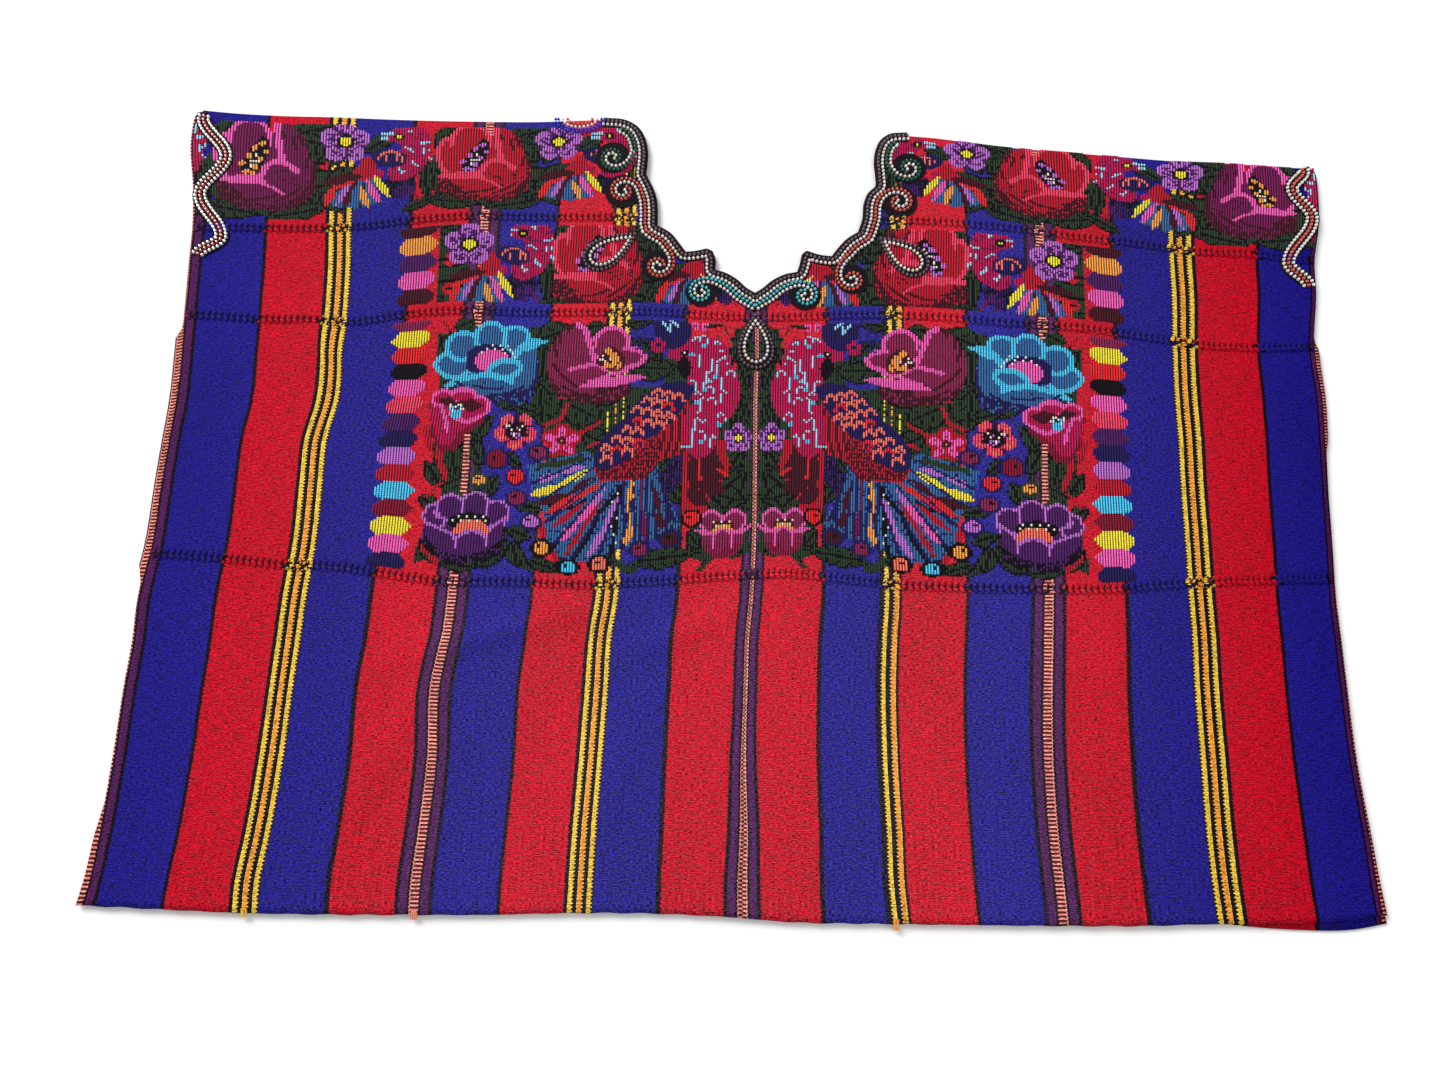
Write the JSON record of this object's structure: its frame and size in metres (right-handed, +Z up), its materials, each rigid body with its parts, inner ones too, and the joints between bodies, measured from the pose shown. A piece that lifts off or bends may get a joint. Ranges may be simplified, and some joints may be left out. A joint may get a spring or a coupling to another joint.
{
  "type": "huipil blouse",
  "caption": "Handwoven huipil blouse with striped cloth, flower and bird brocade, scalloped V neck and beaded trim, laid flat with its front up.",
  "frame": {"origin": "middle of the laid blouse's box in plan, at its flat underside", "axes": "+X across the blouse to the right as seen from above, +Y from the hem to the shoulders, +Z up out of the front"},
  "size_m": [0.9118, 0.6384, 0.0057],
  "materials": {
    "woven_cotton": "handwoven striped cotton with brocade",
    "beaded_border": "dark satin border set with small beads",
    "beads": "faceted glossy beads"
  },
  "bodies": {
    "root": {"lienzo_left": "woven_cotton", "lienzo_right": "woven_cotton", "neck_band_left": "beaded_border", "neck_band_right": "beaded_border", "armhole_wave_left": "beads", "armhole_wave_right": "beads", "bead_scroll_left_1": "beads", "bead_scroll_left_2": "beads", "bead_scroll_left_3": "beads", "bead_scroll_left_4": "beads", "bead_scroll_right_1": "beads", "bead_scroll_right_2": "beads", "bead_scroll_right_3": "beads", "bead_scroll_right_4": "beads", "bead_drop_left": "beads", "bead_drop_right": "beads", "bead_drop_centre": "beads"}
  },
  "joints": []
}
